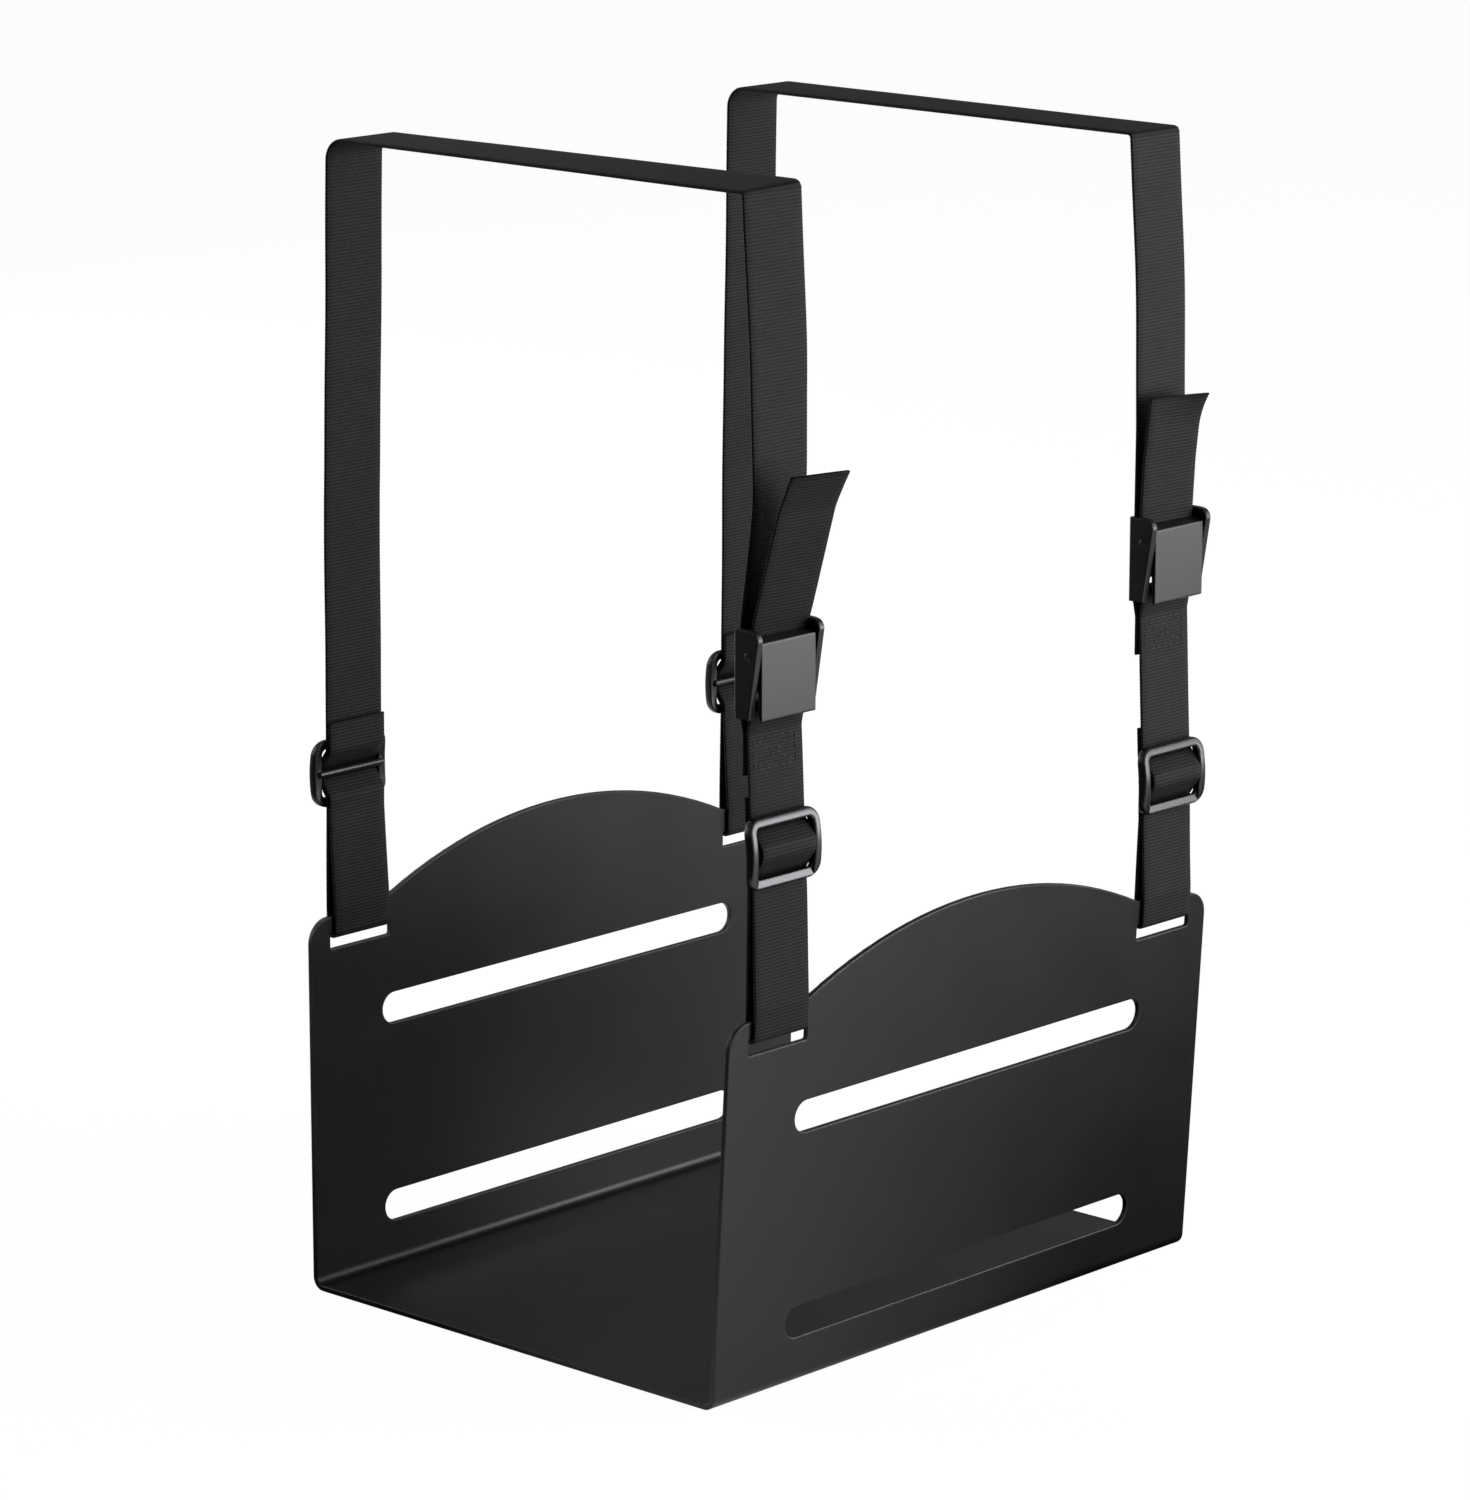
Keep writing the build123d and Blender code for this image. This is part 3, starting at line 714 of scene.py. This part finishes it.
def glide_outline():
    """Points round the glide's outer edge as (x, height, inward x, inward height)."""
    half_x, half_h = GLIDE_WIDTH / 2 - GLIDE_CORNER, GLIDE_HEIGHT / 2 - GLIDE_CORNER
    stations = []
    for sign_x, sign_h, first in ((1, 1, 0), (-1, 1, 90), (-1, -1, 180), (1, -1, 270)):
        for step in range(11):
            a = radians(first + 9 * step)
            x = sign_x * half_x + GLIDE_CORNER * cos(a)
            h = sign_h * half_h + GLIDE_CORNER * sin(a)
            stations.append((x, h, -cos(a), -sin(a)))
        x0, h0, ix, ih = stations[-1]
        span = 2 * (half_h if first in (90, 270) else half_x)
        for step in range(1, 12):
            along = span * step / 12
            stations.append((x0 + ih * along, h0 - ix * along, ix, ih))
    return stations


def glide_section():
    """Points round the outer bar's section, as (distance inward, face it starts from, offset from it)."""
    ring = []
    for step in range(7):
        a = radians(15 * step)
        ring.append((FRONT_ROUND * (1 - cos(a)), glide_front, -FRONT_ROUND * (1 - sin(a))))
    for step in range(7):
        a = radians(15 * step)
        ring.append((GLIDE_SIDE - FRONT_ROUND * (1 - sin(a)), glide_front, -FRONT_ROUND * (1 - cos(a))))
    for step in range(5):
        a = radians(22.5 * step)
        ring.append((GLIDE_SIDE - BACK_ROUND * (1 - cos(a)), glide_back, BACK_ROUND * (1 - sin(a))))
    for step in range(5):
        a = radians(22.5 * step)
        ring.append((BACK_ROUND * (1 - sin(a)), glide_back, BACK_ROUND * (1 - cos(a))))
    return ring


def solid_from(name, verts, faces):
    """An object with its points in millimetres and its faces outward."""
    mesh = bpy.data.meshes.new(name)
    mesh.from_pydata([[c * MM for c in v] for v in verts], [], faces)
    faces_outward(mesh)
    return added(name, mesh)


def prism(name, outline, half_length):
    """A solid with its outline in (depth, height), along X, in the glide's own frame."""
    count = len(outline)
    verts = [(x, d, h) for x in (-half_length, half_length) for d, h in outline]
    faces = [tuple(range(count)), tuple(range(count, 2 * count)), *tube_faces(2, count)]
    return solid_from(name, verts, faces)


def combined(base, cuts, joins):
    """The base's mesh after taking the cuts away and adding the joins."""
    for other, operation in [(c, "DIFFERENCE") for c in cuts] + [(j, "UNION") for j in joins]:
        mod = base.modifiers.new("step", "BOOLEAN")
        mod.operation = operation
        mod.solver = "EXACT"
        mod.object = other
    bpy.context.view_layer.update()
    mesh = bpy.data.meshes.new_from_object(base.evaluated_get(bpy.context.evaluated_depsgraph_get()))
    for obj in [base, *cuts, *joins]:
        bpy.data.objects.remove(obj)
    return mesh


def glide_mesh():
    """The glide in its own frame: an arched ring, with a slope cut in its lower bar, and its centre bar."""
    stations, bar_section = glide_outline(), glide_section()
    verts = []
    for x, h, ix, ih in stations:
        for inward, face, offset in bar_section:
            height = h + ih * inward
            verts.append((x + ix * inward, face(height) + offset, height))
    ring = solid_from("ring", verts, tube_faces(len(stations), len(bar_section), closed=True))
    top, foot = Vector(LIP_TOP), Vector(LIP_FOOT)
    slope = (foot - top).normalized()
    out = Vector((-slope.y, slope.x)) * LIP_CUT_DEPTH
    low, high = foot + slope * LIP_OVERRUN, top - slope * LIP_OVERRUN
    lip = prism("lip", [low, high, high + out, low + out], LIP_WIDTH / 2)
    around = [radians(15 * i) for i in range(24)]
    bar_radius = CENTRE_BAR_DIAMETER / 2
    bar_outline = [(-CENTRE_BAR_SETBACK + bar_radius * cos(a), bar_radius * sin(a)) for a in around]
    bar = prism("bar", bar_outline, GLIDE_WIDTH / 2 - BAR_END_INSET)
    return combined(ring, [lip], [bar])


SHARED_GLIDE = glide_mesh()


def glide(name, hand, side, main_y, z, lean):
    """One glide, put in its place on a strap: the shared mesh with depth and height turned to Y and Z."""
    mesh = SHARED_GLIDE.copy()
    mesh.name = name
    place = glide_frame(side, main_y, z, lean)
    for vert in mesh.vertices:
        x, depth, height = vert.co / MM
        y, up = place(depth, height)
        vert.co = Vector((HANDS[hand] + x, y, up)) * MM
    if side > 0:
        mesh.flip_normals()
    shaded(mesh, BRIGHT, SHARP_EDGE)
    obj = added(name, mesh)
    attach(obj, "holder")
    return obj


for hand in HANDS:
    front_y, front_lean = front_line(hand)
    piece = glide(f"{hand}_front_ring", hand, -1, front_y, FRONT_GLIDE_Z[hand], front_lean)
    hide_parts(f"{hand}_front_glide")
    rear_y, rear_lean = rear_line()
    piece = glide(f"{hand}_rear_ring", hand, 1, rear_y, REAR_GLIDE_Z, rear_lean)
    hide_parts(f"{hand}_rear_glide")

# ---------------------------------------------------------------- buckles with their cast edges rounded
LEVER_FACE = 9.0
LEVER_HALF = 12.5
CHEEK_OUTSIDE = 15.6
LEVER_ROUND = 1.3
CHEEK_ROUND = 0.95
LEVER_FACE_BAND = 0.6
CHEEK_BACK_BAND = 0.5
ON_PLANE = 0.01


def rounded_copy(name, source, body, radius, picks):
    """A copy of a CAD node with the edges that picks chooses rounded off."""
    bm = bmesh.new()
    bm.from_mesh(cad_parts[source].data)
    bmesh.ops.remove_doubles(bm, verts=bm.verts, dist=1e-6)
    bmesh.ops.dissolve_limit(bm, angle_limit=radians(0.5), verts=bm.verts, edges=bm.edges)
    chosen = [e for e in bm.edges if len(e.link_faces) == 2 and picks(e)]
    bmesh.ops.bevel(
        bm, geom=chosen, affect="EDGES", offset=radius * MM, offset_type="OFFSET",
        segments=5, profile=0.5, clamp_overlap=True,
    )
    mesh = bpy.data.meshes.new(name)
    bm.to_mesh(mesh)
    bm.free()
    shaded(mesh, CAST, SHARP_EDGE)
    obj = added(name, mesh)
    even = obj.modifiers.new("normals", "WEIGHTED_NORMAL")
    even.keep_sharp = True
    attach(obj, body)
    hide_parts(source)


for hand, centre in HANDS.items():
    face_y = (BUCKLE_BACK_Y - LEVER_FACE) * MM

    def at_side(edge, half_width):
        return all(abs(abs(v.co.x / MM - centre) - half_width) < ON_PLANE for v in edge.verts)

    def lever_side(edge):
        front = all(v.co.y < face_y + LEVER_FACE_BAND * MM for v in edge.verts)
        return front and at_side(edge, LEVER_HALF)

    def cheek_outside(edge):
        front = all(v.co.y < (BUCKLE_BACK_Y - CHEEK_BACK_BAND) * MM for v in edge.verts)
        return front and at_side(edge, CHEEK_OUTSIDE) and edge.calc_face_angle(0) > radians(60)

    rounded_copy(f"{hand}_lever_cover", f"{hand}_cam_lever", f"{hand}_lever", LEVER_ROUND, lever_side)
    rounded_copy(f"{hand}_buckle_body", f"{hand}_buckle_frame", "holder", CHEEK_ROUND, cheek_outside)

# ---------------------------------------------------------------- stitches on the sewn ends
STITCH_LENGTH = 2.4
STITCH_PITCH = 3.2
STITCH_RADIUS = 0.24
STITCH_SIDES = 8
# Each stitch's share of its radius at shares of its length.
STITCH_SWELL = [(0, 0.35), (0.15, 0.8), (0.5, 1.0), (0.85, 0.8), (1, 0.35)]
STITCH_SUNK = 0.08
STITCH_BOW = 0.12
PATCH_HALF = 9.6
PATCH_TOP = -7.6
PATCH_FOOT = -17.4


def stitch_rows():
    """Both ends of each stitch as (x, height on the buckle), round the sewn patch and along its diagonals."""
    half, top, foot = PATCH_HALF, PATCH_TOP, PATCH_FOOT
    corners = [(-half, top), (half, top), (half, foot), (-half, foot)]
    for first, last in ((0, 1), (1, 2), (2, 3), (3, 0), (0, 2), (1, 3)):
        (x0, z0), (x1, z1) = corners[first], corners[last]
        length = hypot(x1 - x0, z1 - z0)
        count = int(length / STITCH_PITCH)
        margin = (length - count * STITCH_PITCH + STITCH_PITCH - STITCH_LENGTH) / 2
        for i in range(count):
            start = margin + i * STITCH_PITCH
            shares = start / length, (start + STITCH_LENGTH) / length
            yield [(x0 + t * (x1 - x0), z0 + t * (z1 - z0)) for t in shares]


def stitches(hand):
    """Thread on the front layer below a buckle: each stitch is a short bowed lozenge half sunk in it."""
    bm = bmesh.new()
    top_y, top_z = on_buckle(hand, BOTTOM_BAR[0] + LAYER_PITCH / 2 + WEBBING / 2, SEWN_TOP)
    lean = front_line(hand)[1]
    for (x0, z0), (x1, z1) in stitch_rows():
        rings = []
        across = Vector((-(z1 - z0), 0, x1 - x0)).normalized()
        for t, size in STITCH_SWELL:
            x, below = x0 + t * (x1 - x0), z0 + t * (z1 - z0) - SEWN_TOP
            y = top_y - below * tan(radians(lean)) + STITCH_SUNK - STITCH_BOW * (size - STITCH_SWELL[0][1])
            centre = Vector((HANDS[hand] + x, y, top_z + below))
            ring = []
            for k in range(STITCH_SIDES):
                a = 2 * pi * k / STITCH_SIDES
                offset = (across * cos(a) + Vector((0, sin(a), 0))) * STITCH_RADIUS * size
                ring.append(bm.verts.new((centre + offset) * MM))
            rings.append(ring)
        for low_ring, high_ring in zip(rings, rings[1:]):
            for k in range(STITCH_SIDES):
                n = (k + 1) % STITCH_SIDES
                bm.faces.new((low_ring[k], low_ring[n], high_ring[n], high_ring[k]))
        bm.faces.new(rings[0][::-1])
        bm.faces.new(rings[-1])
    bmesh.ops.recalc_face_normals(bm, faces=bm.faces)
    mesh = bpy.data.meshes.new(f"{hand}_stitches")
    bm.to_mesh(mesh)
    bm.free()
    shaded(mesh, THREAD)
    obj = added(f"{hand}_stitches", mesh)
    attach(obj, "holder")


for hand in HANDS:
    stitches(hand)

# ---------------------------------------------------------------- finishes on the CAD nodes
for name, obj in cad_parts.items():
    material = POWDER if name == "bracket" else CAST
    if name.endswith("spring"):
        material = STEEL
    obj.data.materials.clear()
    obj.data.materials.append(material)

# ---------------------------------------------------------------- floor and light
FLOOR_REACH = 12
FLOOR_Z = -0.0003

floor_mesh = bpy.data.meshes.new("floor")
corners = [(x * FLOOR_REACH, y * FLOOR_REACH, FLOOR_Z) for x, y in ((-1, -1), (1, -1), (1, 1), (-1, 1))]
floor_mesh.from_pydata(corners, [], [(0, 1, 2, 3)])
floor = added("floor", floor_mesh)
floor_material = bpy.data.materials.new("floor")
floor_material.use_nodes = True
tree = floor_material.node_tree
tree.nodes.clear()
ray = node(tree, "ShaderNodeLightPath")
bounce = node(tree, "ShaderNodeBsdfDiffuse")
bounce.inputs["Color"].default_value = (0.10, 0.10, 0.10, 1)
glow = node(tree, "ShaderNodeEmission")
glow.inputs["Strength"].default_value = 0.97
seen = node(tree, "ShaderNodeAddShader")
link(tree, bounce.outputs[0], seen.inputs[0])
link(tree, glow.outputs[0], seen.inputs[1])
# What glossy surfaces see of the floor: dark in a band through the holder, brighter on both sides of it, and
# fading out to the left.
spread = node(tree, "ShaderNodeVectorMath", operation="DOT_PRODUCT")
link(tree, node(tree, "ShaderNodeTexCoord").outputs["Object"], spread.inputs[0])
spread.inputs[1].default_value = (0.7, 1.0, 0.0)
reach = node(tree, "ShaderNodeMath", operation="ABSOLUTE")
link(tree, spread.outputs["Value"], reach.inputs[0])
mirrored = node(tree, "ShaderNodeEmission")
side_split = node(tree, "ShaderNodeSeparateXYZ")
link(tree, node(tree, "ShaderNodeTexCoord").outputs["Object"], side_split.inputs["Vector"])
faded = node(tree, "ShaderNodeMath", operation="MULTIPLY")
link(tree, remap(tree, reach.outputs["Value"], 0.0, 1.12, 0.05, 0.29), faded.inputs[0])
link(tree, remap(tree, side_split.outputs["X"], 0.0, 1.0, -0.5, -0.25), faded.inputs[1])
link(tree, faded.outputs["Value"], mirrored.inputs["Strength"])
glossy = node(tree, "ShaderNodeMixShader")
link(tree, ray.outputs["Is Glossy Ray"], glossy.inputs["Fac"])
link(tree, bounce.outputs[0], glossy.inputs[1])
link(tree, mirrored.outputs[0], glossy.inputs[2])
pick = node(tree, "ShaderNodeMixShader")
link(tree, ray.outputs["Is Camera Ray"], pick.inputs["Fac"])
link(tree, glossy.outputs[0], pick.inputs[1])
link(tree, seen.outputs[0], pick.inputs[2])
link(tree, pick.outputs[0], node(tree, "ShaderNodeOutputMaterial").inputs["Surface"])
floor_mesh.materials.append(floor_material)

world = bpy.data.worlds.new("world")
world.use_nodes = True
tree = world.node_tree
background = tree.nodes["Background"]
ray = node(tree, "ShaderNodeLightPath")
sky = node(tree, "ShaderNodeMath", operation="MAXIMUM")
link(tree, remap(tree, ray.outputs["Is Camera Ray"], 0.06, 1.0), sky.inputs[0])
link(tree, remap(tree, ray.outputs["Is Glossy Ray"], 0.06, 0.18), sky.inputs[1])
link(tree, sky.outputs["Value"], background.inputs["Strength"])
background.inputs["Color"].default_value = (1, 1, 1, 1)
bpy.context.scene.world = world


def softbox(name, place, target, size, power, colour=(1, 1, 1)):
    """A rectangular light at a place, turned to its target, that the camera doesn't see."""
    data = bpy.data.lights.new(name, "AREA")
    data.shape = "RECTANGLE"
    data.size, data.size_y = size
    data.energy = power
    data.color = colour
    light = added(name, data)
    light.location = place
    light.rotation_euler = (Vector(target) - Vector(place)).to_track_quat("-Z", "Y").to_euler()
    light.visible_camera = False


softbox("key", place=(1.00, -1.35, 0.55), target=(0, -0.1, 0.2), size=(2.4, 1.5), power=24.5)
softbox(
    "side", place=(0.63, -0.84, 0.27), target=(0, -0.1, 0.3), size=(0.35, 0.35), power=2.8,
    colour=(0.99, 0.97, 1.05),
)
softbox("rear", place=(-0.20, 1.70, 0.50), target=(0, 0, 0.2), size=(2.6, 1.6), power=22)

bpy.context.scene.view_settings.view_transform = "Standard"
